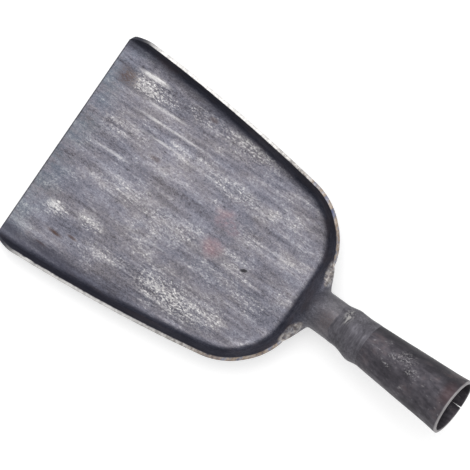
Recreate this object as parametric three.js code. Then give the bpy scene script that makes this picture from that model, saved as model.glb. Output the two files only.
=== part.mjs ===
// Fire shovel head in thin steel sheet: a dished pan with a rolled neck, and a tapered socket welded on.
// Millimetres and degrees. +Y runs from the lip to the socket, +X is to the right and +Z is up.
import * as THREE from 'three';
import { mergeVertices } from 'three/addons/utils/BufferGeometryUtils.js';

// Sheet
const panSheet = 2;
const socketSheet = 2;

// Pan, measured on the inner edge of the rim
const lipHalfWidth = 73.7;
const rimLength = 175.5;
const rearFlatHalf = 18;
const cornerRadius = 42;
const cornerToe = 9.7;
const frontWallHeight = 13;
const rearWallHeight = 18;
const wallLean = 17;
const floorFillet = 6;
const lipRise = 3;
const frontSlopeRun = 14;
const frontSlopeRound = 1.5;
const rimFlareTurn = 50;
const rimFlareRun = 5.5;
const rimFlareSpread = 20;

// Tongue of the pan, rolled into the neck
const tongueHalfWidth = 27;
const neckRadius = 12.25;
const neckRise = 15.7;
const neckYaw = 1.5;
const neckSidestep = -0.9;
const neckRootHeight = 14;
const neckRootSetback = 6.5;
const rollLength = 9;
const rollReach = 6.3;
const edgeFollowsRim = 0.9;
const neckLength = 25.5;

// Socket, from the joint with the neck to the mouth
const socketLength = 76;
const socketFrontRadius = 12.9;
const socketMouthRadius = 17.9;
const mouthFlare = 0.4;
const mouthFlareLength = 12;
const seamTurn = 7;

// Seams and welds
const seamGap = 1.8;
const jointGap = 1.6;
const weldClearance = 0.3;
const rootTaper = 0.5;
const crownHalfWidth = 2.6;
const crownHeight = 0.8;
const ringReach = 7;
const ringToe = 0.5;
const ringPeak = 1.2;
const neckBeadSetback = 2;
const openSeamAtMouth = 9;

// Facets
const sideRibs = 15;
const crowdToLip = 1.5;
const cornerRibs = 12;
const tongueRibs = 12;
const floorRows = 3;
const floorFanShare = 0.8;
const wallRows = 8;
const rollRows = 7;
const neckRows = 3;
const socketSteps = 40;
const socketRows = 8;
const flareRows = 3;
const ringSteps = 48;

const rad = THREE.MathUtils.degToRad;
const lean = rad(wallLean);
const floorTop = panSheet;
const filletTop = floorTop + floorFillet * (1 - Math.sin(lean));
const filletRun = floorFillet * (Math.PI / 2 - lean);
const cornerCentreY = rimLength - cornerRadius;

// The line of the neck and socket. Its own +Y runs along the tubes, from the neck's root to the mouth
const handleLine = new THREE.Group();
handleLine.position.set(neckSidestep, rimLength + neckRootSetback, neckRootHeight);
handleLine.rotation.set(rad(neckRise), 0, rad(-neckYaw), 'ZXY');
handleLine.updateMatrix();

// The socket is turned a little about that line, which sets its seam to one side
const socketLine = new THREE.Group();
socketLine.rotation.y = rad(seamTurn);
handleLine.add(socketLine);

const taper = (socketMouthRadius - socketFrontRadius) / socketLength;
const taperAngle = Math.atan(taper);
const socketStart = neckLength + jointGap / 2;
const socketEnd = neckLength + socketLength;

const steel = (color, roughness) => new THREE.MeshStandardMaterial({ color, roughness, metalness: 0.8 });
const panSteel = () => steel(0x6f7078, 0.5);
const socketSteel = () => steel(0x4d4b50, 0.55);
const weldSteel = () => steel(0x5a5a5e, 0.6);

// Triangles between neighbouring lines of points, seen counter-clockwise from the face's outside
function skin(lines) {
  const triangles = [];
  for (let i = 0; i + 1 < lines.length; i++) {
    for (let j = 0; j + 1 < lines[i].length; j++) {
      const [a, b, c, d] = [lines[i][j], lines[i][j + 1], lines[i + 1][j + 1], lines[i + 1][j]];
      triangles.push([a, b, c], [a, c, d]);
    }
  }
  return triangles;
}

// A closed sheet made from one face and the points behind it, with a strip along every free edge
function sheetSolid(triangles, pointBehind) {
  const face = mergeVertices(new THREE.BufferGeometry().setFromPoints(triangles.flat()), 1e-3);
  face.computeVertexNormals();
  const count = face.attributes.position.count;
  const front = [];
  const back = [];
  for (let i = 0; i < count; i++) {
    const point = new THREE.Vector3().fromBufferAttribute(face.attributes.position, i);
    const outward = new THREE.Vector3().fromBufferAttribute(face.attributes.normal, i);
    front.push(point);
    back.push(pointBehind(point, outward));
  }
  const index = [];
  const edges = new Map();
  for (let i = 0; i < face.index.count; i += 3) {
    const [a, b, c] = [0, 1, 2].map((k) => face.index.getX(i + k));
    if (a === b || b === c || c === a) continue;
    index.push(a, b, c, a + count, c + count, b + count);
    for (const [from, to] of [[a, b], [b, c], [c, a]]) edges.set(`${from} ${to}`, [from, to]);
  }
  for (const [from, to] of edges.values()) {
    if (edges.has(`${to} ${from}`)) continue;
    index.push(to, from, from + count, to, from + count, to + count);
  }
  const solid = new THREE.BufferGeometry().setFromPoints([...front, ...back]);
  solid.setIndex(index);
  return solid;
}

// Places along the rim seen from above, with the direction in over the floor: first the bowed side
function sideStations() {
  const toe = rad(cornerToe);
  const end = cornerStation(toe).rim;
  const middle = new THREE.Vector2(end.x + Math.tan(toe) * end.y / 2, end.y / 2);
  const side = new THREE.QuadraticBezierCurve(new THREE.Vector2(lipHalfWidth, 0), middle, end);
  const stations = [];
  for (let i = 0; i < sideRibs; i++) {
    const along = (i / sideRibs) ** crowdToLip;
    const tangent = side.getTangent(along);
    stations.push({ rim: side.getPoint(along), inward: new THREE.Vector2(-tangent.y, tangent.x) });
  }
  return stations;
}

function cornerStation(angle) {
  const outward = new THREE.Vector2(Math.cos(angle), Math.sin(angle));
  const rim = new THREE.Vector2(rearFlatHalf, cornerCentreY).addScaledVector(outward, cornerRadius);
  return { rim, inward: outward.negate() };
}

const cornerAngleAt = (x) => Math.acos((x - rearFlatHalf) / cornerRadius);

function cornerStations() {
  const start = rad(cornerToe);
  const end = cornerAngleAt(tongueHalfWidth);
  const stations = [];
  for (let i = 0; i < cornerRibs; i++) stations.push(cornerStation(start + (end - start) * i / cornerRibs));
  return stations;
}

// The share is 1 at the tongue's edge and 0 at its middle
function tongueStations() {
  const stations = [];
  for (let i = 0; i <= tongueRibs; i++) {
    const share = 1 - i / tongueRibs;
    const x = tongueHalfWidth * share;
    const flat = { rim: new THREE.Vector2(x, rimLength), inward: new THREE.Vector2(0, -1) };
    stations.push({ ...(x > rearFlatHalf ? cornerStation(cornerAngleAt(x)) : flat), share });
  }
  return stations;
}

function leftOf({ rim, inward, share }) {
  const mirror = ({ x, y }) => new THREE.Vector2(-x, y);
  return { rim: mirror(rim), inward: mirror(inward), share: -share };
}

// Height of the rim: it climbs to the rear, and its front end falls to the lip in a rounded slope
function wallHeight(y) {
  return THREE.MathUtils.lerp(frontWallHeight, rearWallHeight, y / rimLength);
}

function cutHeight(y) {
  if (y >= frontSlopeRun) return wallHeight(y);
  const share = 1 - (1 - y / frontSlopeRun) ** frontSlopeRound;
  return THREE.MathUtils.lerp(lipRise, wallHeight(y), share);
}

// Outward turn of the rim beside the neck, where the wall starts to bend back into the tongue
function rimFlare(x) {
  const away = Math.abs(x);
  const beside = 1 - (away - tongueHalfWidth) / rimFlareSpread;
  return rad(rimFlareTurn) * Math.max(Math.min(away / tongueHalfWidth, beside), 0);
}

// The wall's inner face: a run starts at the edge of the flat floor, and goes up the fillet and the wall
function runAtHeight(z) {
  if (z < filletTop) return floorFillet * Math.acos(1 - (z - floorTop) / floorFillet);
  return filletRun + (z - filletTop) / Math.cos(lean);
}

function wallProfile(run, rimRun, flare) {
  const turn = Math.min(run, filletRun) / floorFillet;
  const bent = flare > 0 ? Math.max(run - rimRun + rimFlareRun, 0) : 0;
  const straight = Math.max(run - bent - filletRun, 0);
  const bentLean = lean + flare * bent / rimFlareRun / 2;
  return {
    out: floorFillet * Math.sin(turn) + straight * Math.sin(lean) + bent * Math.sin(bentLean),
    z: floorTop + floorFillet * (1 - Math.cos(turn)) + straight * Math.cos(lean) + bent * Math.cos(bentLean),
  };
}

// One line over the pan's inner face, from the middle of the floor out and up to the rim
function panRib({ rim, inward }) {
  const fullRun = runAtHeight(wallHeight(rim.y));
  const inset = wallProfile(fullRun, fullRun, 0).out;
  const floorEdge = rim.clone().addScaledVector(inward, inset);
  const middleY = Math.min(floorEdge.y, cornerCentreY * floorFanShare);
  const points = [];
  for (let i = 0; i < floorRows; i++) {
    const along = i / floorRows;
    const y = THREE.MathUtils.lerp(middleY, floorEdge.y, along);
    points.push(new THREE.Vector3(floorEdge.x * along, y, floorTop));
  }
  const rimRun = runAtHeight(cutHeight(rim.y));
  const flare = rim.y > cornerCentreY ? rimFlare(rim.x) : 0;
  for (let i = 0; i <= wallRows; i++) {
    const { out, z } = wallProfile(rimRun * i / wallRows, rimRun, flare);
    const place = floorEdge.clone().addScaledVector(inward, -out);
    points.push(new THREE.Vector3(place.x, place.y, z));
  }
  return points;
}

function onTube(radius, angle, along) {
  return new THREE.Vector3(radius * Math.sin(angle), along, radius * Math.cos(angle));
}

// Angle from the top of a tube to the edge of its seam
function seamAngle(radius) {
  return Math.PI - Math.asin(seamGap / 2 / radius);
}

// One line over the tongue, from the rim back and round into the neck
function tongueRib({ rim, inward, share }, rimPoint) {
  const neckPoint = (along) => {
    return onTube(neckRadius, seamAngle(neckRadius) * share, along).applyMatrix4(handleLine.matrix);
  };
  const rimLean = lean + rimFlare(rim.x);
  const outward = new THREE.Vector3(-inward.x, -inward.y, 0);
  const alongRim = new THREE.Vector3(inward.y, -inward.x, 0).multiplyScalar(Math.sign(share));
  const leave = new THREE.Vector3(0, 0, Math.cos(rimLean)).addScaledVector(outward, Math.sin(rimLean));
  leave.addScaledVector(alongRim, edgeFollowsRim * share ** 2).setLength(rollReach).add(rimPoint);
  const sweep = new THREE.CubicBezierCurve3(rimPoint, leave, neckPoint(0), neckPoint(rollLength));
  const points = sweep.getPoints(rollRows);
  for (let i = 1; i <= neckRows; i++) {
    points.push(neckPoint(THREE.MathUtils.lerp(rollLength, neckLength - jointGap / 2, i / neckRows)));
  }
  return points;
}

function panGeometry() {
  const rightWall = [...sideStations(), ...cornerStations()];
  const rightTongue = tongueStations();
  const tongue = [...rightTongue, ...rightTongue.slice(0, -1).map(leftOf).reverse()];
  const stations = [...rightWall, ...tongue, ...rightWall.map(leftOf).reverse()];
  const ribs = stations.map(panRib);
  const tongueRibLines = tongue.map((station, i) => tongueRib(station, ribs[rightWall.length + i].at(-1)));
  const behind = (point, outward) => point.clone().addScaledVector(outward, -panSheet);
  return sheetSolid([...skin(ribs), ...skin(tongueRibLines)], behind);
}

function socketRadius(along) {
  const flare = Math.max(along - socketEnd + mouthFlareLength, 0) / mouthFlareLength;
  return socketFrontRadius + taper * (along - neckLength) + mouthFlare * flare ** 2;
}

// Tapered tube with square ends and its seam underneath, open by the seam's gap from end to end
function socketGeometry() {
  const flareStart = socketEnd - mouthFlareLength;
  const between = THREE.MathUtils.lerp;
  const places = [];
  for (let i = 0; i < socketRows; i++) places.push(between(socketStart, flareStart, i / socketRows));
  for (let i = 0; i <= flareRows; i++) places.push(between(flareStart, socketEnd, i / flareRows));
  const lines = [];
  for (let i = 0; i <= socketSteps; i++) {
    const share = 1 - 2 * i / socketSteps;
    lines.push(places.map((along) => {
      const radius = socketRadius(along);
      return onTube(radius, seamAngle(radius) * share, along);
    }));
  }
  const behind = ({ x, y, z }) => {
    const share = 1 - socketSheet / Math.hypot(x, z);
    return new THREE.Vector3(x * share, y, z * share);
  };
  return sheetSolid(skin(lines), behind);
}

// Weld ring round the joint: a root between the two ends, and a low crown over both of them
function collarWeldGeometry() {
  const neckFace = neckRadius + weldClearance;
  const socketFace = (along) => socketRadius(along) + weldClearance;
  const rootHalf = jointGap / 2 - weldClearance;
  const front = neckLength - ringReach;
  const rear = neckLength + ringReach;
  const widerFace = Math.max(neckFace, socketFace(neckLength));
  const profile = [
    [neckRadius - panSheet, neckLength - rootHalf],
    [neckFace, neckLength - rootHalf],
    [neckFace, front],
    [neckFace + ringToe, front],
    [widerFace + ringPeak, neckLength],
    [socketFace(rear) + ringToe, rear],
    [socketFace(rear), rear],
    [socketFace(neckLength + rootHalf), neckLength + rootHalf],
    [neckRadius - panSheet, neckLength + rootHalf],
    [neckRadius - panSheet, neckLength - rootHalf],
  ];
  return new THREE.LatheGeometry(profile.map(([x, y]) => new THREE.Vector2(x, y)), ringSteps);
}

// Straight bead for a seam: a root in the gap and a crown over its edges, starting at the tube's face
function beadGeometry(length, sheet) {
  const rootHalf = seamGap / 2 - weldClearance;
  const section = new THREE.Shape();
  section.moveTo(-rootHalf * rootTaper, -sheet);
  section.lineTo(rootHalf * rootTaper, -sheet);
  section.lineTo(rootHalf, weldClearance);
  section.lineTo(crownHalfWidth, weldClearance);
  section.quadraticCurveTo(0, weldClearance + 2 * crownHeight, -crownHalfWidth, weldClearance);
  section.lineTo(-rootHalf, weldClearance);
  const bead = new THREE.ExtrudeGeometry(section, { depth: length, bevelEnabled: false, curveSegments: 8 });
  return bead.rotateX(-Math.PI / 2);
}

function named(name, geometry, material) {
  const mesh = new THREE.Mesh(geometry, material);
  mesh.name = name;
  return mesh;
}

function neckSeamWeld() {
  const start = rollLength + neckBeadSetback;
  const end = neckLength - ringReach - weldClearance;
  const bead = named('neck_seam_weld', beadGeometry(end - start, panSheet), weldSteel());
  bead.position.set(0, start, -neckRadius);
  return bead;
}

function socketSeamWeld() {
  const start = neckLength + ringReach + weldClearance;
  const end = socketEnd - openSeamAtMouth;
  const length = (end - start) / Math.cos(taperAngle);
  const bead = named('socket_seam_weld', beadGeometry(length, socketSheet), weldSteel());
  bead.position.set(0, start, -socketRadius(start));
  bead.rotation.x = -taperAngle;
  return bead;
}

const head = new THREE.Group();
head.add(named('pan', panGeometry(), panSteel()), handleLine);
handleLine.add(named('collar_weld', collarWeldGeometry(), weldSteel()), neckSeamWeld());
socketLine.add(named('socket', socketGeometry(), socketSteel()), socketSeamWeld());

// The origin is under the middle of the whole head
const shovel = new THREE.Group();
shovel.add(head);
const box = new THREE.Box3().setFromObject(shovel, true);
head.position.set(-(box.min.x + box.max.x) / 2, -(box.min.y + box.max.y) / 2, -box.min.z);

export default shovel;
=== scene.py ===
import math

import bpy
import bmesh
from mathutils import Matrix, Vector, kdtree, noise


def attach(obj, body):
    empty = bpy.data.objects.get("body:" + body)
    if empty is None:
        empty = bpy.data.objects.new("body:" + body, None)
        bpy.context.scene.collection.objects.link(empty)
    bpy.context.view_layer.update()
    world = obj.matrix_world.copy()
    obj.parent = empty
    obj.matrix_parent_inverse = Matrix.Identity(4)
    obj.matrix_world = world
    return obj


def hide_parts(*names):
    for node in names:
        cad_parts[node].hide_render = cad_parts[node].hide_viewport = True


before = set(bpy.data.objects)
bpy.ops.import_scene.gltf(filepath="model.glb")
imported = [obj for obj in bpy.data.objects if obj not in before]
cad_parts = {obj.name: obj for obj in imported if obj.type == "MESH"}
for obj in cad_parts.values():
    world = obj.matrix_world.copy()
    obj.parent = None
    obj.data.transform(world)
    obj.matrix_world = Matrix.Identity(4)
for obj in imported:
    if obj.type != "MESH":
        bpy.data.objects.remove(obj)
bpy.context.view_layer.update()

# Fire shovel head in worn dark steel. Metres, +Y from the lip to the socket's mouth, +Z up.
# Shapes are worked out in millimetres with the lip at 0, and then set down at lipLine.
mm = 0.001


# Making pieces

def pickOnly(thing):
    bpy.ops.object.select_all(action="DESELECT")
    thing.select_set(True)
    bpy.context.view_layer.objects.active = thing


def applied(thing, kind, **values):
    pickOnly(thing)
    modifier = thing.modifiers.new(kind.title(), kind)
    for key, value in values.items():
        setattr(modifier, key, value)
    bpy.ops.object.modifier_apply(modifier=modifier.name)


def rounded(thing, width, angle):
    limit = math.radians(angle)
    applied(thing, "BEVEL", width=width * mm, segments=2, limit_method="ANGLE", angle_limit=limit)


def smoothed(thing, angle):
    pickOnly(thing)
    bpy.ops.object.shade_smooth_by_angle(angle=math.radians(angle))


def mix(a, b, share):
    return a + (b - a) * share


def clamped(value):
    return min(max(value, 0), 1)


def keyOf(point):
    return tuple(round(v, 3) for v in point)


def gridFaces(form, lines, knots):
    # faces between neighbouring lines; points at the same place share one corner, kept in knots
    def knot(point):
        key = keyOf(point)
        if key not in knots:
            knots[key] = form.verts.new(point)
        return knots[key]

    for one, two in zip(lines, lines[1:]):
        for j in range(len(one) - 1):
            corners = [knot(one[j]), knot(one[j + 1]), knot(two[j + 1]), knot(two[j])]
            corners = [c for k, c in enumerate(corners) if c not in corners[:k]]
            if len(corners) > 2:
                form.faces.new(corners)


def turnFaces(form, outward):
    # all faces of a sheet to the side that outward gives
    bmesh.ops.recalc_face_normals(form, faces=form.faces)
    form.normal_update()
    if sum(face.normal.dot(outward(face)) * face.calc_area() for face in form.faces) < 0:
        bmesh.ops.reverse_faces(form, faces=form.faces)
    form.normal_update()


def meshOf(form, name):
    mesh = bpy.data.meshes.new(name)
    form.to_mesh(mesh)
    form.free()
    thing = bpy.data.objects.new(name, mesh)
    bpy.context.collection.objects.link(thing)
    return thing


def storeDistance(thing, name, distanceAt):
    # millimetres from a worn edge, kept on the mesh for its finish
    attribute = thing.data.attributes.new(name, "FLOAT", "POINT")
    for i, vert in enumerate(thing.data.vertices):
        attribute.data[i].value = distanceAt(vert.co)


# Making finishes

def srgb(code):
    channels = [int(code[i:i + 2], 16) / 255 for i in (1, 3, 5)]
    return tuple(c / 12.92 if c < 0.04045 else ((c + 0.055) / 1.055) ** 2.4 for c in channels) + (1,)


def newMaterial(name):
    material = bpy.data.materials.new(name)
    material.use_nodes = True
    return material, material.node_tree


def feed(tree, socket, value):
    if isinstance(value, bpy.types.NodeSocket):
        tree.links.new(value, socket)
    else:
        socket.default_value = value


def grain(tree, stretch, detail, rough, turn=0, shift=(0, 0, 0)):
    coords = tree.nodes.new("ShaderNodeTexCoord")
    mapping = tree.nodes.new("ShaderNodeMapping")
    mapping.inputs["Scale"].default_value = stretch
    mapping.inputs["Rotation"].default_value = (0, 0, math.radians(turn))
    mapping.inputs["Location"].default_value = shift
    node = tree.nodes.new("ShaderNodeTexNoise")
    node.inputs["Scale"].default_value = 1
    node.inputs["Detail"].default_value = detail
    node.inputs["Roughness"].default_value = rough
    tree.links.new(coords.outputs["Object"], mapping.inputs["Vector"])
    tree.links.new(mapping.outputs["Vector"], node.inputs["Vector"])
    return node.outputs["Fac"]


def fade(tree, value, low, high, start=0.0, end=1.0):
    # start below low, end above high, smooth between them
    node = tree.nodes.new("ShaderNodeMapRange")
    node.interpolation_type = "SMOOTHSTEP"
    feed(tree, node.inputs["Value"], value)
    node.inputs["From Min"].default_value = low
    node.inputs["From Max"].default_value = high
    node.inputs["To Min"].default_value = start
    node.inputs["To Max"].default_value = end
    return node.outputs["Result"]


def sums(tree, kind, a, b):
    node = tree.nodes.new("ShaderNodeMath")
    node.operation = kind
    feed(tree, node.inputs[0], a)
    feed(tree, node.inputs[1], b)
    return node.outputs[0]


def plus(tree, a, b):
    return sums(tree, "ADD", a, b)


def minus(tree, a, b):
    return sums(tree, "SUBTRACT", a, b)


def times(tree, a, b):
    return sums(tree, "MULTIPLY", a, b)


def larger(tree, a, b):
    return sums(tree, "MAXIMUM", a, b)


def weighted(tree, grains, weights):
    total = None
    for name, weight in weights.items():
        part = times(tree, grains[name], weight)
        total = part if total is None else plus(tree, total, part)
    return total


def blend(tree, share, a, b, kind="MIX"):
    node = tree.nodes.new("ShaderNodeMix")
    node.data_type = "RGBA"
    node.blend_type = kind
    feed(tree, node.inputs[0], share)
    feed(tree, node.inputs[6], a)
    feed(tree, node.inputs[7], b)
    return node.outputs[2]


def stained(tree, colour, share, code):
    return blend(tree, share, colour, srgb(code))


def ramp(tree, value, stops):
    node = tree.nodes.new("ShaderNodeValToRGB")
    feed(tree, node.inputs["Fac"], value)
    while len(node.color_ramp.elements) < len(stops):
        node.color_ramp.elements.new(0.5)
    for element, (where, code) in zip(node.color_ramp.elements, stops):
        element.position = where
        element.color = srgb(code)
    return node.outputs["Color"]


def spot(tree, x, y, width, length, turn=0, soft=0.6):
    # 1 in the middle of an oval patch, 0 outside it, right through the piece; in millimetres
    coords = tree.nodes.new("ShaderNodeTexCoord")
    mapping = tree.nodes.new("ShaderNodeMapping")
    mapping.vector_type = "TEXTURE"
    mapping.inputs["Location"].default_value = (x * mm, y * mm, 0)
    mapping.inputs["Rotation"].default_value = (0, 0, math.radians(turn))
    mapping.inputs["Scale"].default_value = (width / 2 * mm, length / 2 * mm, 10)
    far = tree.nodes.new("ShaderNodeVectorMath")
    far.operation = "LENGTH"
    tree.links.new(coords.outputs["Object"], mapping.inputs["Vector"])
    tree.links.new(mapping.outputs["Vector"], far.inputs[0])
    return fade(tree, far.outputs["Value"], 1 - soft, 1 + soft, 1, 0)


def patched(tree, share, patches):
    # each patch: x, y, width, length, strength and, if given, its turn and softness
    for x, y, width, length, power, *shape in patches:
        share = larger(tree, share, times(tree, spot(tree, x, y, width, length, *shape), power))
    return share


def coordinate(tree, axis):
    coords = tree.nodes.new("ShaderNodeTexCoord")
    parts = tree.nodes.new("ShaderNodeSeparateXYZ")
    tree.links.new(coords.outputs["Object"], parts.inputs["Vector"])
    return parts.outputs[axis]


def stored(tree, name):
    node = tree.nodes.new("ShaderNodeAttribute")
    node.attribute_name = name
    return node.outputs["Fac"]


def bumps(tree, grains, layers):
    # each layer: a grain's name, strength, distance in metres
    normal = None
    for name, strength, distance in layers:
        node = tree.nodes.new("ShaderNodeBump")
        node.inputs["Strength"].default_value = strength
        node.inputs["Distance"].default_value = distance
        feed(tree, node.inputs["Height"], grains[name])
        if normal is not None:
            tree.links.new(normal, node.inputs["Normal"])
        normal = node.outputs["Normal"]
    return normal


def finishSteel(tree, colour, roughness, metallic, normal):
    shader = tree.nodes["Principled BSDF"]
    feed(tree, shader.inputs["Base Color"], colour)
    feed(tree, shader.inputs["Roughness"], roughness)
    feed(tree, shader.inputs["Metallic"], metallic)
    tree.links.new(normal, shader.inputs["Normal"])


def settle(thing, material, slot, *nodes):
    thing.data.materials.append(material)
    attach(thing, "root")
    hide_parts(*nodes)


# Blade: pan with turned-up walls, whose rear tongue is rolled into the neck

blade = {
    "name": "panBlade",
    "lipLine": -142.11,
    "sheet": 1.96,
    "lipHalfWidth": 73.7,
    "rimLength": 175.5,
    "rearFlatHalf": 18,
    "cornerRadius": 42,
    "cornerToe": 9.7,            # how far the sides close towards the rear, in degrees
    "frontWallHeight": 13,
    "rearWallHeight": 18,
    "wallLean": 17,
    "floorFillet": 6,
    "lipRise": 3,
    "frontSlopeRun": 14,         # the side walls drop to the lip
    "frontSlopeRound": 1.5,
    "flareTurn": 50,             # rim bent outwards beside the neck
    "flareRun": 5.5,
    "flareSpread": 20,
    "tongueHalfWidth": 27,       # rolled into the neck
    "neckRadius": 12.2,
    "neckRise": 15.7,
    "neckYaw": 1.5,
    "neckSidestep": -0.9,
    "neckRootHeight": 14,
    "neckRootSetback": 6.5,
    "rollLength": 9,
    "rollReach": 6.3,
    "edgeFollowsRim": 0.9,
    "neckEnd": 24.7,
    "seamGap": 1.8,
    "sideRibs": 46,
    "ribCrowding": 1.4,          # more ribs near the lip
    "cornerRibs": 40,
    "tongueRibs": 40,
    "floorRows": 26,
    "floorFanShare": 0.8,        # where the rear ribs meet on the middle line
    "wallRows": 26,
    "rollRows": 26,
    "neckRows": 12,
    "waveHeight": 0.3,           # hammered unevenness of the sheet
    "waveScale": 0.026,
    "waveEnd": 170,
    "waveFade": 30,
    "rimWobble": 0.35,           # hand-ground height of the rim
    "rimWobbleScale": 0.11,
    "rimWobbleFade": 4,
    "groundRoll": 0.4,           # share of the rolled edge that is ground like the rim
    "edgeRound": 0.16,
    "edgeAngle": 55,
    "smoothAngle": 60,
    "grains": {                  # stretch, detail, roughness, turn, shift
        "streaks": ((300, 26, 300), 6, 0.7, -1.5),
        "blotches": ((75, 40, 75), 8, 0.75),
        "flecks": ((1000, 520, 1000), 5, 0.8),
        "crumbs": ((2300, 1500, 2300), 3, 0.8),
        "drift": ((22, 9, 22), 3, 0.5, 0, (3, 7, 0)),
        "pits": ((620, 330, 620), 3, 0.7, 0, (9, 2, 4)),
        "hue": ((75, 32, 75), 5, 0.7, 0, (2, 6, 3)),
        "crisp": ((1150, 620, 1150), 2, 0.6, 0, (1, 8, 2)),
        "walls": ((60, 34, 90), 4, 0.6, 0, (5, 5, 1)),
        "ragged": ((260, 260, 260), 4, 0.7),
        "creases": ((420, 160, 160), 3, 0.6, 35),
        "rim": ((240, 420, 420), 5, 0.7),
        "heat": ((210, 210, 210), 4, 0.6, 0, (4, 1, 8)),
    },
    "toneWeights": {"streaks": 0.25, "blotches": 0.22, "flecks": 0.28, "crumbs": 0.25},
    "driftWeight": 0.16,
    "speckWeights": {"flecks": 0.65, "streaks": 0.35},
    "tones": {
        "floor": [(0.39, "#3d3c43"), (0.465, "#68666f"), (0.53, "#84828b"), (0.61, "#aeacb0")],
        "hue": [(0.38, "#8f8578"), (0.5, "#84828c"), (0.62, "#74829c")],
        # painted shade: the walls' tones, darker and bluer than the floor's
        "walls": [(0.38, "#21222e"), (0.48, "#31333f"), (0.6, "#5a5a66")],
        "neck": [(0.38, "#434147"), (0.5, "#5f5d62"), (0.62, "#807e83")],
        "rim": [(0.34, "#5c5857"), (0.48, "#96928f"), (0.58, "#c4c1be"), (0.72, "#8a8583")],
        "heat": [
            (0.36, "#44527c"), (0.45, "#706d78"), (0.53, "#a08a72"), (0.6, "#66504a"), (0.7, "#3f3a54"),
        ],
    },
    "hueShare": 0.17,
    "colours": {
        "pits": "#3f3d42", "worn": "#c4c2c0", "crisp": "#d9d7d6", "bright": "#dad8d7",
        "pink": "#8a6870", "rust": "#4b3933", "blue": "#4f606e", "lip": "#2b2b30", "hole": "#1f1e22",
        # on the next line, the floor's shade by the walls and the dark top of the walls are painted shade
        "wallStain": "#4a4042", "neckStain": "#4a3a38", "shade": "#343542", "wallTopShade": "#1d1e29",
        "paleRim": "#e6e5e4",
    },
    "fades": {                   # from, to, value before, value after; heights and places in metres
        "pits": (0.32, 0.4, 0.65, 0),
        "worn": (0.48, 0.66, 0, 0.65),
        "specks": (0.46, 0.6),
        "crisp": (0.53, 0.59),
        "crispInWorn": (0.1, 0.5),
        "brightStreaks": (0.42, 0.6, 0.3, 1),
        "brightFlecks": (0.38, 0.5, 0.5, 1),
        "pink": (0.42, 0.58, 0, 0.55),
        "frontRust": (0.4, 0.55, 0.1, 0.9),
        "rust": (0.38, 0.5, 0.45, 1),
        "blue": (-0.142, -0.118, 0.5, 0),
        "blueBlotches": (0.4, 0.6),
        # painted shadow along the lip's edge
        "lip": (-0.1422, -0.1412, 0.8, 0),
        "walls": (0.0024, 0.0048),
        "wallStain": (0.46, 0.62, 0, 0.4),
        "neck": (0.03, 0.05),
        "neckStain": (0.4, 0.6, 0.1, 0.5),
        "rightFront": (-0.12, -0.055, 2.5, 0.5),    # millimetres that the shade is wider
        "rightSide": (0, 0.04),
        "lipShade": (-0.145, -0.12, 9, 0),          # millimetres that it is narrower
        "shade": (14.5, 20.5, 0.5, 0),              # millimetres from the rim
        "rightShade": (0, 2.5, 1, 1.6),             # stronger where it is wider
        "wallTopShade": (2, 11, 0.6, 0),                 # millimetres from the rim
        "wallTopShadeFront": (0.02, 0.035, 1, 0),
        "ground": (1.6, 2, 1, 0),                   # millimetres from the rim
        "groundFromLip": (-0.137, -0.118, 0, 1),
        "creases": (0.4, 0.58, 0.25, 1),
        "facetHeight": (0.0135, 0.0155, 0, 0.75),
        "paleRim": (-0.05, -0.015, 0.45, 0),
        "heat": (-0.02, 0.01, 0, 0.6),
        "roughness": (0.3, 0.7, 0.62, 0.4),
    },
    "wornPatches": [             # x, y, width, length in millimetres, strength, turn, softness
        (-52, -114, 10, 34, 1), (-56, -78, 8, 30, 0.7), (-56, -44, 8, 42, 1), (44, -34, 16, 46, 1),
        (38, -121, 8, 14, 0.8), (35, -99, 7, 18, 0.9), (44, -80, 8, 30, 0.5), (40, -8, 14, 16, 0.6),
        (10, -60, 16, 40, 0.4), (-30, -40, 10, 40, 0.5), (-12, -15, 10, 26, 0.35), (22, 8, 12, 18, 0.5),
        (-22, -120, 14, 22, 0.4), (8, -95, 12, 36, 0.35),
    ],
    "wornShare": 0.9,
    "brightStreaks": [
        (-58.8, -116, 3, 17, 1, 1.5, 0.7), (-38.4, -92, 1.8, 42, 0.6, 1.5, 0.7),
        (-29, -98, 1.6, 34, 0.5, 1.5, 0.7), (-46, -100, 2, 26, 0.5, 1.5, 0.7),
        (17.5, -13, 1, 50, 0.35, 1.5, 0.7), (37, -122, 4, 9, 0.7, 1.5, 0.7),
        (24, -70, 1.5, 30, 0.35, 1.5, 0.7), (-8, -112, 1.5, 26, 0.35, 1.5, 0.7),
    ],
    "pinkStains": [(-12, -32, 14, 18, 1), (5, -31, 12, 12, 1)],
    "frontRust": [(-50.5, -130.5, 10, 13, 1)],
    "rustSpots": [
        (-58, -73, 3, 6, 0.6), (-19, -89, 3, 7, 0.5), (51.2, -113.8, 2, 8, 0.95, -3, 0.7),
        (47.9, -103.4, 1.6, 6, 0.9, -3, 0.8), (61.1, -117.4, 1.3, 7, 0.8, -3, 0.7),
    ],
    "blackPit": [(6, -7.7, 2.2, 4.5, 0.9, 25, 0.4)],
    "neckStain": [(2, 51, 13, 14, 1)],
    "neckFacets": [(20, 36, 17, 7, 1, -20, 0.2), (-21, 36, 15, 6, 1, 20, 0.2)],
    "wallRagged": 0.0012,        # how unevenly the scale of the walls begins, in metres
    "shadeRagged": 6,            # and the shade and the ground edge, in millimetres
    "groundRagged": 1.1,
    "facetHeat": 0.6,            # the facets beside the neck keep less of the heat tint
    "groundGloss": 0.1,
    "metallic": 0.72,
    "bumps": [("streaks", 0.25, 0.00025), ("flecks", 0.3, 0.00012)],
}

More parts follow.
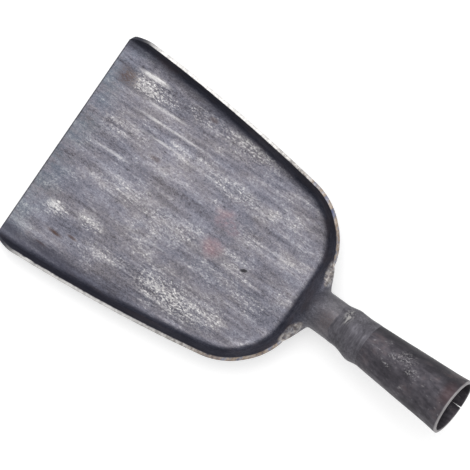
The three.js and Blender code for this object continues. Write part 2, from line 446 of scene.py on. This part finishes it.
lipPlace = Vector((0, blade["lipLine"], 0))
cornerLine = blade["rimLength"] - blade["cornerRadius"]
lean = math.radians(blade["wallLean"])
filletTop = blade["sheet"] + blade["floorFillet"] * (1 - math.sin(lean))
filletRun = blade["floorFillet"] * (math.pi / 2 - lean)
neckRoot = (blade["neckSidestep"], blade["rimLength"] + blade["neckRootSetback"], blade["neckRootHeight"])
handleLine = (
    Matrix.Translation(neckRoot)
    @ Matrix.Rotation(math.radians(-blade["neckYaw"]), 4, "Z")
    @ Matrix.Rotation(math.radians(blade["neckRise"]), 4, "X")
)


def cornerStation(angle):
    # a place on the rim with the direction from it in over the floor
    outward = Vector((math.cos(angle), math.sin(angle)))
    centre = Vector((blade["rearFlatHalf"], cornerLine))
    return {"rim": centre + outward * blade["cornerRadius"], "inward": -outward}


def cornerAngleAt(x):
    return math.acos((x - blade["rearFlatHalf"]) / blade["cornerRadius"])


def wallStations():
    # right side from the lip, a shallow curve, and the corner up to the tongue
    toe = math.radians(blade["cornerToe"])
    start = Vector((blade["lipHalfWidth"], 0))
    end = cornerStation(toe)["rim"]
    middle = Vector((end.x + math.tan(toe) * end.y / 2, end.y / 2))
    stations = []
    for i in range(blade["sideRibs"]):
        t = (i / blade["sideRibs"]) ** blade["ribCrowding"]
        rim = start * (1 - t) ** 2 + middle * 2 * t * (1 - t) + end * t ** 2
        tangent = ((middle - start) * (1 - t) + (end - middle) * t).normalized()
        stations.append({"rim": rim, "inward": Vector((-tangent.y, tangent.x))})
    last = cornerAngleAt(blade["tongueHalfWidth"])
    for i in range(blade["cornerRibs"]):
        stations.append(cornerStation(mix(toe, last, i / blade["cornerRibs"])))
    return stations


def tongueStations():
    # right half of the tongue; share is 1 at its edge and 0 in its middle
    stations = []
    for i in range(blade["tongueRibs"] + 1):
        share = 1 - i / blade["tongueRibs"]
        x = blade["tongueHalfWidth"] * share
        if x > blade["rearFlatHalf"]:
            station = cornerStation(cornerAngleAt(x))
        else:
            station = {"rim": Vector((x, blade["rimLength"])), "inward": Vector((0, -1))}
        stations.append(dict(station, share=share))
    return stations


def mirrored(station):
    turned = {key: Vector((-station[key].x, station[key].y)) for key in ("rim", "inward")}
    if "share" in station:
        turned["share"] = -station["share"]
    return turned


def wallHeight(y):
    return mix(blade["frontWallHeight"], blade["rearWallHeight"], y / blade["rimLength"])


def cutHeight(y):
    if y >= blade["frontSlopeRun"]:
        return wallHeight(y)
    share = 1 - (1 - y / blade["frontSlopeRun"]) ** blade["frontSlopeRound"]
    return mix(blade["lipRise"], wallHeight(y), share)


def rimFlare(x):
    beside = 1 - (abs(x) - blade["tongueHalfWidth"]) / blade["flareSpread"]
    return math.radians(blade["flareTurn"]) * max(min(abs(x) / blade["tongueHalfWidth"], beside), 0)


def runAtHeight(z):
    if z < filletTop:
        return blade["floorFillet"] * math.acos(1 - (z - blade["sheet"]) / blade["floorFillet"])
    return filletRun + (z - filletTop) / math.cos(lean)


def wallProfile(run, rimRun, flare):
    # out and up after a run along the bend, the straight wall and the flare
    fillet = blade["floorFillet"]
    turn = min(run, filletRun) / fillet
    bent = max(run - rimRun + blade["flareRun"], 0) if flare > 0 else 0
    straight = max(run - bent - filletRun, 0)
    bentLean = lean + flare * bent / blade["flareRun"] / 2
    out = fillet * math.sin(turn) + straight * math.sin(lean) + bent * math.sin(bentLean)
    z = blade["sheet"] + fillet * (1 - math.cos(turn)) + straight * math.cos(lean) + bent * math.cos(bentLean)
    return out, z


def panRib(station):
    rim, inward = station["rim"], station["inward"]
    fullRun = runAtHeight(wallHeight(rim.y))
    floorEdge = rim + inward * wallProfile(fullRun, fullRun, 0)[0]
    middleY = min(floorEdge.y, cornerLine * blade["floorFanShare"])
    points = []
    for i in range(blade["floorRows"]):
        along = i / blade["floorRows"]
        points.append(Vector((floorEdge.x * along, mix(middleY, floorEdge.y, along), blade["sheet"])))
    rimRun = runAtHeight(cutHeight(rim.y))
    flare = rimFlare(rim.x) if rim.y > cornerLine else 0
    wobble = 0
    if "share" not in station:
        wobble = noise.noise(Vector((rim.x, rim.y, 0)) * blade["rimWobbleScale"]) * blade["rimWobble"]
        wobble -= blade["rimWobble"] / 2
    for i in range(blade["wallRows"] + 1):
        share = i / blade["wallRows"]
        out, z = wallProfile(rimRun * share, rimRun, flare)
        place = floorEdge - inward * out
        points.append(Vector((place.x, place.y, z + wobble * share ** blade["rimWobbleFade"])))
    return points


def onTube(radius, angle, along):
    return Vector((radius * math.sin(angle), along, radius * math.cos(angle)))


def tongueRib(station, rimPoint):
    # from the rear wall's top over a smooth roll to the neck, whose edges nearly meet underneath
    radius, share = blade["neckRadius"], station["share"]
    angle = (math.pi - math.asin(blade["seamGap"] / 2 / radius)) * share
    outward, inward = -station["inward"], station["inward"]
    rimLean = lean + rimFlare(station["rim"].x)
    leave = Vector((outward.x * math.sin(rimLean), outward.y * math.sin(rimLean), math.cos(rimLean)))
    side = 1 if share > 0 else -1
    leave += Vector((inward.y, -inward.x, 0)) * side * blade["edgeFollowsRim"] * share ** 2
    leave = rimPoint + leave.normalized() * blade["rollReach"]
    near = handleLine @ onTube(radius, angle, 0)
    far = handleLine @ onTube(radius, angle, blade["rollLength"])
    points = []
    for i in range(blade["rollRows"] + 1):
        t = i / blade["rollRows"]
        point = rimPoint * (1 - t) ** 3 + leave * 3 * t * (1 - t) ** 2 + near * 3 * t * t * (1 - t)
        points.append(point + far * t ** 3)
    for i in range(1, blade["neckRows"] + 1):
        along = mix(blade["rollLength"], blade["neckEnd"], i / blade["neckRows"])
        points.append(handleLine @ onTube(radius, angle, along))
    return points


def makeBlade():
    sides = wallStations()
    halfTongue = tongueStations()
    tongue = halfTongue + [mirrored(s) for s in reversed(halfTongue[:-1])]
    ribs = [panRib(s) for s in sides + tongue + [mirrored(s) for s in reversed(sides)]]
    rolled = [tongueRib(s, ribs[len(sides) + i][-1]) for i, s in enumerate(tongue)]
    form = bmesh.new()
    knots = {}
    gridFaces(form, ribs, knots)
    gridFaces(form, rolled, knots)
    turnFaces(form, lambda face: Vector((0, 0, 1)))

    # middle of the ground edge, along both sides and a little way up the rolled edges
    groundPoints = [rib[-1] for rib in ribs[:len(sides)] + ribs[len(sides) + len(tongue):]]
    for rib in (rolled[0], rolled[-1]):
        groundPoints += rib[:int(blade["rollRows"] * blade["groundRoll"])]
    half = blade["sheet"] / 2
    groundVerts = [knots[keyOf(point)] for point in groundPoints]
    rimLine = [vert.co - vert.normal * half for vert in groundVerts]
    nearest = kdtree.KDTree(len(rimLine))
    for i, point in enumerate(rimLine):
        nearest.insert((point + lipPlace) * mm, i)
    nearest.balance()

    for vert in form.verts:
        wave = noise.noise(vert.co * blade["waveScale"]) * 0.5 + 0.5
        still = clamped((blade["waveEnd"] - vert.co.y) / blade["waveFade"])
        vert.co = (vert.co + vert.normal * wave * blade["waveHeight"] * still + lipPlace) * mm
    thing = meshOf(form, blade["name"])
    applied(thing, "SOLIDIFY", thickness=blade["sheet"] * mm, offset=-1)
    rounded(thing, blade["edgeRound"], blade["edgeAngle"])
    smoothed(thing, blade["smoothAngle"])
    storeDistance(thing, "fromRim", lambda place: nearest.find(place)[2] / mm)
    return thing


def bladeSteel():
    material, tree = newMaterial("bluedSheet")
    grains = {name: grain(tree, *values) for name, values in blade["grains"].items()}
    fades, tones, colours = blade["fades"], blade["tones"], blade["colours"]
    streaks, blotches, flecks = grains["streaks"], grains["blotches"], grains["flecks"]
    acrossBlade, alongBlade, height = [coordinate(tree, axis) for axis in "XYZ"]
    fromRim = stored(tree, "fromRim")

    # bare sheet with pits and a drifting hue
    drift = times(tree, minus(tree, grains["drift"], 0.5), blade["driftWeight"])
    tone = plus(tree, weighted(tree, grains, blade["toneWeights"]), drift)
    colour = ramp(tree, tone, tones["floor"])
    colour = stained(tree, colour, fade(tree, grains["pits"], *fades["pits"]), colours["pits"])
    hue = ramp(tree, grains["hue"], tones["hue"])
    colour = blend(tree, blade["hueShare"], colour, hue, "COLOR")

    # light worn specks, thick in some places along the blade, and single bright streaks
    worn = patched(tree, fade(tree, blotches, *fades["worn"]), blade["wornPatches"])
    specks = fade(tree, weighted(tree, grains, blade["speckWeights"]), *fades["specks"])
    worn = times(tree, worn, specks)
    colour = stained(tree, colour, times(tree, worn, blade["wornShare"]), colours["worn"])
    crisp = fade(tree, grains["crisp"], *fades["crisp"])
    crisp = times(tree, crisp, fade(tree, worn, *fades["crispInWorn"]))
    colour = stained(tree, colour, crisp, colours["crisp"])
    bright = patched(tree, 0, blade["brightStreaks"])
    bright = times(tree, bright, fade(tree, streaks, *fades["brightStreaks"]))
    bright = times(tree, bright, fade(tree, flecks, *fades["brightFlecks"]))
    colour = stained(tree, colour, bright, colours["bright"])

    # stains: pink, rust, blue at the front, then a painted shadow along the lip, and one black pit
    pink = times(tree, patched(tree, 0, blade["pinkStains"]), fade(tree, blotches, *fades["pink"]))
    colour = stained(tree, colour, pink, colours["pink"])
    rust = times(tree, patched(tree, 0, blade["frontRust"]), fade(tree, flecks, *fades["frontRust"]))
    rust = patched(tree, rust, blade["rustSpots"])
    rust = times(tree, rust, fade(tree, flecks, *fades["rust"]))
    colour = stained(tree, colour, rust, colours["rust"])
    blue = times(tree, fade(tree, alongBlade, *fades["blue"]), fade(tree, blotches, *fades["blueBlotches"]))
    colour = stained(tree, colour, blue, colours["blue"])
    # painted shadow: a thin dark line along the lip's edge
    colour = stained(tree, colour, fade(tree, alongBlade, *fades["lip"]), colours["lip"])
    colour = stained(tree, colour, patched(tree, 0, blade["blackPit"]), colours["hole"])

    # painted shade on the floor by the walls, wider on the right towards the lip
    right = fade(tree, alongBlade, *fades["rightFront"])
    right = times(tree, right, fade(tree, acrossBlade, *fades["rightSide"]))
    shade = plus(tree, fromRim, times(tree, blotches, blade["shadeRagged"]))
    shade = plus(tree, shade, fade(tree, alongBlade, *fades["lipShade"]))
    shade = fade(tree, minus(tree, shade, right), *fades["shade"])
    shade = times(tree, shade, fade(tree, right, *fades["rightShade"]))
    colour = stained(tree, colour, shade, colours["shade"])

    # walls in painted shade, blue-black from the bend up, and the greyer neck
    shadedWallColour = ramp(tree, tone, tones["walls"])
    wallStain = fade(tree, grains["walls"], *fades["wallStain"])
    shadedWallColour = stained(tree, shadedWallColour, wallStain, colours["wallStain"])
    neckColour = ramp(tree, tone, tones["neck"])
    neckStain = times(tree, patched(tree, 0, blade["neckStain"]), fade(tree, flecks, *fades["neckStain"]))
    neckColour = stained(tree, neckColour, neckStain, colours["neckStain"])
    shadedWallColour = blend(tree, fade(tree, alongBlade, *fades["neck"]), shadedWallColour, neckColour)
    # painted shade: the upper walls darker near the rim, towards the front
    wallTopShade = fade(tree, fromRim, *fades["wallTopShade"])
    wallTopShade = times(tree, wallTopShade, fade(tree, alongBlade, *fades["wallTopShadeFront"]))
    shadedWallColour = stained(tree, shadedWallColour, wallTopShade, colours["wallTopShade"])
    wall = fade(tree, plus(tree, height, times(tree, blotches, blade["wallRagged"])), *fades["walls"])
    colour = blend(tree, wall, colour, shadedWallColour)

    # ground rim, and facets beside the neck: bright, pale in front and tinted by heat at the rear
    reach = plus(tree, fromRim, times(tree, grains["ragged"], blade["groundRagged"]))
    ground = fade(tree, reach, *fades["ground"])
    ground = times(tree, ground, fade(tree, alongBlade, *fades["groundFromLip"]))
    creases = fade(tree, grains["creases"], *fades["creases"])
    facets = times(tree, patched(tree, 0, blade["neckFacets"]), creases)
    facets = times(tree, facets, fade(tree, height, *fades["facetHeight"]))
    ground = larger(tree, ground, facets)
    rimColour = ramp(tree, grains["rim"], tones["rim"])
    rimColour = stained(tree, rimColour, fade(tree, alongBlade, *fades["paleRim"]), colours["paleRim"])
    heated = fade(tree, alongBlade, *fades["heat"])
    heated = minus(tree, heated, times(tree, facets, blade["facetHeat"]))
    rimColour = blend(tree, heated, rimColour, ramp(tree, grains["heat"], tones["heat"]))
    colour = blend(tree, ground, colour, rimColour)

    roughness = fade(tree, tone, *fades["roughness"])
    roughness = minus(tree, roughness, times(tree, ground, blade["groundGloss"]))
    finishSteel(tree, colour, roughness, blade["metallic"], bumps(tree, grains, blade["bumps"]))
    return material


# Socket: tapered tube round the handle's line, with its seam underneath

socket = {
    "name": "handleSocket",
    "start": 26.4,               # along the handle's line, from the neck's root
    "end": 101.4,
    "joint": 25.5,
    "frontRadius": 12.9,
    "mouthRadius": 17.85,
    "length": 76,
    "flare": 0.4,
    "flareLength": 12,
    "sheet": 1.9,
    "seamTurn": 7,
    "seamGap": 0.12,
    "mouthGap": 0.8,             # the seam opens a little at the mouth
    "mouthGapLength": 11,
    "mouthGapCurve": 4,
    "seamStep": 0.5,             # one edge of the seam lies lower
    "seamStepFrom": 0.82,        # share of the way round to that edge
    "dent": 0.35,
    "dentScale": 0.05,
    "steps": 120,
    "rows": 60,
    "edgeRound": 0.22,
    "edgeAngle": 55,
    "smoothAngle": 55,
    "grains": {                  # stretch, detail, roughness, turn
        "along": ((420, 60, 420), 5, 0.65, -1.5),
        "blotches": ((110, 80, 110), 5, 0.65),
        "flecks": ((1100, 700, 1100), 4, 0.7),
        "scratches": ((900, 240, 900), 3, 0.6, 12),
    },
    "toneWeights": {"along": 0.45, "blotches": 0.55},
    "tones": [(0.32, "#2b292e"), (0.48, "#403d43"), (0.6, "#524f55"), (0.74, "#737176")],
    "colours": {
        "scratches": "#b9b7b8", "shadedSide": "#242228", "stain": "#4d3637", "worn": "#a3a0a1",
        "brown": "#5a4a4a",
    },
    "fades": {                   # from, to, value before, value after
        "scratches": (0.62, 0.7),
        "scratchBlotches": (0.45, 0.62, 0.1, 0.8),
        "scratchFlecks": (0.5, 0.62, 0, 0.6),
        "shadedSide": (-0.0125, -0.0055, 0.85, 0),     # metres across
        "mouth": (1.2, 1.75, 0.75, 0),              # millimetres from the middle of the end face
        "brown": (0.52, 0.68),
        "roughness": (0.3, 0.7, 0.66, 0.45),
    },
    "scratchShare": 0.5,
    "scratchPatches": [          # x, y, width, length in millimetres, strength, turn, softness
        (-8.3, 86.5, 1.8, 4, 1, 30, 0.9), (-6.5, 100.5, 6, 9, 1, 20, 0.9), (-3.5, 95, 3, 9, 1, 10, 0.9),
        (3, 91, 1.5, 6, 1, -20, 0.9), (-1, 106, 4, 7, 1, 0, 0.9),
    ],
    "mouthStain": [(-3, 130, 13, 8, 0.45)],
    "mouthRagged": 0.8,
    "brownShare": 0.3,
    "metallic": 0.7,
    "bumps": [("along", 0.25, 0.0003), ("flecks", 0.35, 0.00015)],
}


def socketRadius(along):
    flare = max(along - socket["end"] + socket["flareLength"], 0) / socket["flareLength"]
    taper = (socket["mouthRadius"] - socket["frontRadius"]) / socket["length"]
    return socket["frontRadius"] + taper * (along - socket["joint"]) + socket["flare"] * flare ** 2


def awayFromLine(point):
    return Vector((point.x, 0, point.z)).normalized()


def setDown(form):
    form.transform(Matrix.Scale(mm, 4) @ Matrix.Translation(lipPlace) @ handleLine)


def socketPoint(share, along):
    radius = socketRadius(along)
    opening = max(along - socket["end"] + socket["mouthGapLength"], 0) / socket["mouthGapLength"]
    gap = mix(socket["seamGap"], socket["mouthGap"], opening ** socket["mouthGapCurve"])
    angle = (math.pi - math.asin(gap / 2 / radius)) * share + math.radians(socket["seamTurn"])
    lower = max(-share - socket["seamStepFrom"], 0) / (1 - socket["seamStepFrom"])
    point = onTube(radius - socket["seamStep"] * lower ** 2, angle, along)
    dent = noise.noise(point * socket["dentScale"]) * 0.5 - 0.5
    return point + awayFromLine(point) * dent * socket["dent"]


def makeSocket():
    form = bmesh.new()
    lines = []
    for i in range(socket["steps"] + 1):
        share = 1 - 2 * i / socket["steps"]
        places = [mix(socket["start"], socket["end"], j / socket["rows"]) for j in range(socket["rows"] + 1)]
        lines.append([socketPoint(share, along) for along in places])
    gridFaces(form, lines, {})
    turnFaces(form, lambda face: awayFromLine(face.calc_center_median()))
    setDown(form)
    thing = meshOf(form, socket["name"])
    applied(thing, "SOLIDIFY", thickness=socket["sheet"] * mm, offset=-1)
    rounded(thing, socket["edgeRound"], socket["edgeAngle"])
    smoothed(thing, socket["smoothAngle"])
    setBack = (Matrix.Translation(lipPlace) @ handleLine).inverted()
    middle = socketRadius(socket["end"]) - socket["sheet"] / 2

    def fromEndFace(place):
        local = setBack @ (place / mm)
        return math.hypot(math.hypot(local.x, local.z) - middle, local.y - socket["end"])

    storeDistance(thing, "fromMouth", fromEndFace)
    return thing


def socketSteel():
    material, tree = newMaterial("socketScale")
    grains = {name: grain(tree, *values) for name, values in socket["grains"].items()}
    fades, colours = socket["fades"], socket["colours"]
    blotches, flecks = grains["blotches"], grains["flecks"]
    tone = weighted(tree, grains, socket["toneWeights"])
    colour = ramp(tree, tone, socket["tones"])

    # fine scratches all over and denser ones in a few patches
    scratches = fade(tree, grains["scratches"], *fades["scratches"])
    scratches = times(tree, scratches, fade(tree, blotches, *fades["scratchBlotches"]))
    scratches = times(tree, scratches, socket["scratchShare"])
    dense = patched(tree, 0, socket["scratchPatches"])
    dense = times(tree, dense, fade(tree, flecks, *fades["scratchFlecks"]))
    colour = stained(tree, colour, larger(tree, scratches, dense), colours["scratches"])

    # painted shade on the left side, a red-brown stain, the worn mouth and brown blotches
    # painted shade: the socket darker on its left side
    shadedSide = fade(tree, coordinate(tree, "X"), *fades["shadedSide"])
    colour = stained(tree, colour, shadedSide, colours["shadedSide"])
    colour = stained(tree, colour, patched(tree, 0, socket["mouthStain"]), colours["stain"])
    mouth = plus(tree, stored(tree, "fromMouth"), times(tree, blotches, socket["mouthRagged"]))
    colour = stained(tree, colour, fade(tree, mouth, *fades["mouth"]), colours["worn"])
    brown = times(tree, fade(tree, blotches, *fades["brown"]), socket["brownShare"])
    colour = stained(tree, colour, brown, colours["brown"])
    roughness = fade(tree, tone, *fades["roughness"])
    finishSteel(tree, colour, roughness, socket["metallic"], bumps(tree, grains, socket["bumps"]))
    return material


# Collar: dressed weld ring that blends the neck into the socket

collar = {
    "name": "collarRing",
    "front": 15.5,               # along the handle's line
    "rear": 40,
    "blendStart": 21,
    "blendRun": 9,
    "ridge": 28.2,
    "ridgeSlant": 4.6,           # the ridge lies aslant round the tubes
    "ridgeHeight": 1.15,
    "ridgeWidth": 4.2,
    "skin": 0.12,                # above the tubes, and as far below them at both ends
    "endShare": 0.125,           # share of the length at each end that slopes down to the tubes
    "lumps": 0.22,
    "lumpScale": 0.16,
    "steps": 120,
    "rows": 50,
    "smoothAngle": 45,
}
# finish of the collar and of both beads
weld = {
    "grains": {                  # stretch, detail, roughness
        "across": ((90, 900, 900), 4, 0.6),
        "blotches": ((160, 160, 160), 5, 0.65),
    },
    "toneWeights": {"across": 0.5, "blotches": 0.5},
    "tones": [(0.34, "#3d3c41"), (0.48, "#4f4d53"), (0.6, "#5e5c62"), (0.74, "#807e84")],
    "brightPatch": [(-7, 59, 8, 4, 1, 0, 0.8)],
    "brightFade": (0.45, 0.62, 0, 0.6),
    "brightColour": "#c3c1bd",
    "roughness": (0.3, 0.7, 0.62, 0.42),
    "metallic": 0.7,
    "bumps": [("across", 0.2, 0.0003), ("blotches", 0.3, 0.0004)],
}


def collarPoint(angle, share):
    along = mix(collar["front"], collar["rear"], share)
    blendShare = clamped((along - collar["blendStart"]) / collar["blendRun"])
    blendShare = blendShare * blendShare * (3 - 2 * blendShare)
    base = mix(blade["neckRadius"], socketRadius(max(along, socket["joint"])), blendShare)
    ridge = collar["ridge"] + collar["ridgeSlant"] * math.sin(angle)
    bump = math.exp(-((along - ridge) / collar["ridgeWidth"]) ** 2)
    ends = clamped(min(share, 1 - share) / collar["endShare"])
    radius = base + collar["skin"] * ends * 2 - collar["skin"] + collar["ridgeHeight"] * bump
    point = onTube(radius, angle, along)
    lumps = noise.noise(point * collar["lumpScale"]) * collar["lumps"] * ends
    return point + awayFromLine(point) * lumps


def makeCollar():
    form = bmesh.new()
    inner = blade["neckRadius"] - blade["sheet"]
    loops = []
    for i in range(collar["steps"]):
        angle = 2 * math.pi * i / collar["steps"]
        line = [collarPoint(angle, j / collar["rows"]) for j in range(collar["rows"] + 1)]
        line += [onTube(inner, angle, collar["rear"]), onTube(inner, angle, collar["front"])]
        loops.append([form.verts.new(point) for point in line])
    for i, line in enumerate(loops):
        following = loops[(i + 1) % len(loops)]
        for j in range(len(line)):
            k = (j + 1) % len(line)
            form.faces.new((line[j], line[k], following[k], following[j]))
    bmesh.ops.recalc_face_normals(form, faces=form.faces)
    setDown(form)
    thing = meshOf(form, collar["name"])
    smoothed(thing, collar["smoothAngle"])
    return thing


def weldSteel():
    material, tree = newMaterial("dressedWeld")
    grains = {name: grain(tree, *values) for name, values in weld["grains"].items()}
    tone = weighted(tree, grains, weld["toneWeights"])
    colour = ramp(tree, tone, weld["tones"])
    bright = fade(tree, grains["across"], *weld["brightFade"])
    bright = times(tree, patched(tree, 0, weld["brightPatch"]), bright)
    colour = stained(tree, colour, bright, weld["brightColour"])
    roughness = fade(tree, tone, *weld["roughness"])
    finishSteel(tree, colour, roughness, weld["metallic"], bumps(tree, grains, weld["bumps"]))
    return material


# Seam beads under the neck and the socket: finer copies of their CAD nodes

beads = {
    "nodes": {"neckBead": "neck_seam_weld", "socketBead": "socket_seam_weld"},
    "mergeWithin": 0.005,
    "quadAngle": 60,
    "creaseAngle": 50,
    "levels": 2,
    "edgeRound": 0.12,
}


def makeBead(name):
    thing = bpy.data.objects.new(name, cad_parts[beads["nodes"][name]].data.copy())
    bpy.context.collection.objects.link(thing)
    thing.data.name = name
    thing.data.materials.clear()
    pickOnly(thing)
    flat = math.radians(beads["quadAngle"])
    bpy.ops.object.mode_set(mode="EDIT")
    bpy.ops.mesh.select_all(action="SELECT")
    bpy.ops.mesh.remove_doubles(threshold=beads["mergeWithin"] * mm)
    bpy.ops.mesh.normals_make_consistent(inside=False)
    bpy.ops.mesh.tris_convert_to_quads(face_threshold=flat, shape_threshold=flat)
    bpy.ops.object.mode_set(mode="OBJECT")
    form = bmesh.new()
    form.from_mesh(thing.data)
    crease = form.edges.layers.float.new("crease_edge")
    for edge in form.edges:
        if len(edge.link_faces) == 2 and edge.calc_face_angle() > math.radians(beads["creaseAngle"]):
            edge[crease] = 1
    form.to_mesh(thing.data)
    form.free()
    applied(thing, "SUBSURF", levels=beads["levels"], render_levels=beads["levels"])
    rounded(thing, beads["edgeRound"], beads["creaseAngle"])
    smoothed(thing, beads["creaseAngle"])
    return thing


# Floor, world, lamp and camera

stage = {
    "floorSize": 6,
    "floorDrop": 0.0005,
    "floorColour": 0.7,
    "floorRoughness": 0.9,
    "floorGlow": 0.5,
    "worldStrength": 0.72,
}
keyLamp = {
    "name": "keyLamp",
    "place": (-0.6, -0.35, 1.1),
    "size": 1.3,
    "power": 9,
}
camera = {
    "name": "photoCamera",
    "target": (-8.58, -24.17, 0),
    "distance": 1300,
    "leanBack": 3.22,            # degrees towards the socket
    "leanSide": -0.38,
    "roll": 34.425,
    "lens": 167.08,
    "sensor": 36,
}


def seenDirectly(tree):
    # 1 for what the camera sees, also by reflection or through glass; 0 for the light on the pieces
    path = tree.nodes.new("ShaderNodeLightPath")
    seen = larger(tree, path.outputs["Is Camera Ray"], path.outputs["Is Glossy Ray"])
    return larger(tree, seen, path.outputs["Is Transmission Ray"])


def makeFloor():
    bpy.ops.mesh.primitive_plane_add(size=stage["floorSize"], location=(0, 0, -stage["floorDrop"]))
    floor = bpy.context.object
    floor.name = "studioFloor"
    material, tree = newMaterial("paleFloor")
    shader = tree.nodes["Principled BSDF"]
    shader.inputs["Base Color"].default_value = (stage["floorColour"],) * 3 + (1,)
    shader.inputs["Roughness"].default_value = stage["floorRoughness"]
    glow = tree.nodes.new("ShaderNodeEmission")
    feed(tree, glow.inputs["Strength"], times(tree, seenDirectly(tree), stage["floorGlow"]))
    both = tree.nodes.new("ShaderNodeAddShader")
    tree.links.new(shader.outputs["BSDF"], both.inputs[0])
    tree.links.new(glow.outputs["Emission"], both.inputs[1])
    tree.links.new(both.outputs["Shader"], tree.nodes["Material Output"].inputs["Surface"])
    floor.data.materials.append(material)


def makeWorld():
    world = bpy.data.worlds.new("softStudio")
    bpy.context.scene.world = world
    world.use_nodes = True
    tree = world.node_tree
    back = tree.nodes["Background"]
    back.inputs["Color"].default_value = (1, 1, 1, 1)
    feed(tree, back.inputs["Strength"], fade(tree, seenDirectly(tree), 0, 1, stage["worldStrength"], 1))


def makeLamp():
    bpy.ops.object.light_add(type="AREA", location=keyLamp["place"])
    lamp = bpy.context.object
    lamp.name = keyLamp["name"]
    lamp.data.size = keyLamp["size"]
    lamp.data.energy = keyLamp["power"]
    lamp.rotation_euler = (-Vector(keyLamp["place"])).to_track_quat("-Z", "Y").to_euler()


def makeCamera():
    side = math.sin(math.radians(camera["leanSide"]))
    back = math.sin(math.radians(camera["leanBack"]))
    towards = Vector((side, back, math.sqrt(1 - side ** 2 - back ** 2)))
    roll = math.radians(camera["roll"])
    right = Vector((-math.sin(roll), math.cos(roll), 0))
    right = (right - towards * right.dot(towards)).normalized()
    up = towards.cross(right)
    place = (Vector(camera["target"]) + towards * camera["distance"]) * mm
    data = bpy.data.cameras.new(camera["name"])
    data.lens = camera["lens"]
    data.sensor_width = camera["sensor"]
    thing = bpy.data.objects.new(camera["name"], data)
    bpy.context.collection.objects.link(thing)
    thing.matrix_world = Matrix.Translation(place) @ Matrix((right, up, towards)).transposed().to_4x4()
    bpy.context.scene.camera = thing


settle(makeBlade(), bladeSteel(), "pan_steel", "pan")
print("blade made")
settle(makeSocket(), socketSteel(), "socket_steel", "socket")
print("socket made")
weldFinish = weldSteel()
settle(makeCollar(), weldFinish, "weld_steel", "collar_weld")
for name, node in beads["nodes"].items():
    settle(makeBead(name), weldFinish, "weld_steel", node)
print("welds made")
makeFloor()
makeWorld()
makeLamp()
makeCamera()
bpy.context.scene.view_settings.view_transform = "Standard"
print("stage and camera set")
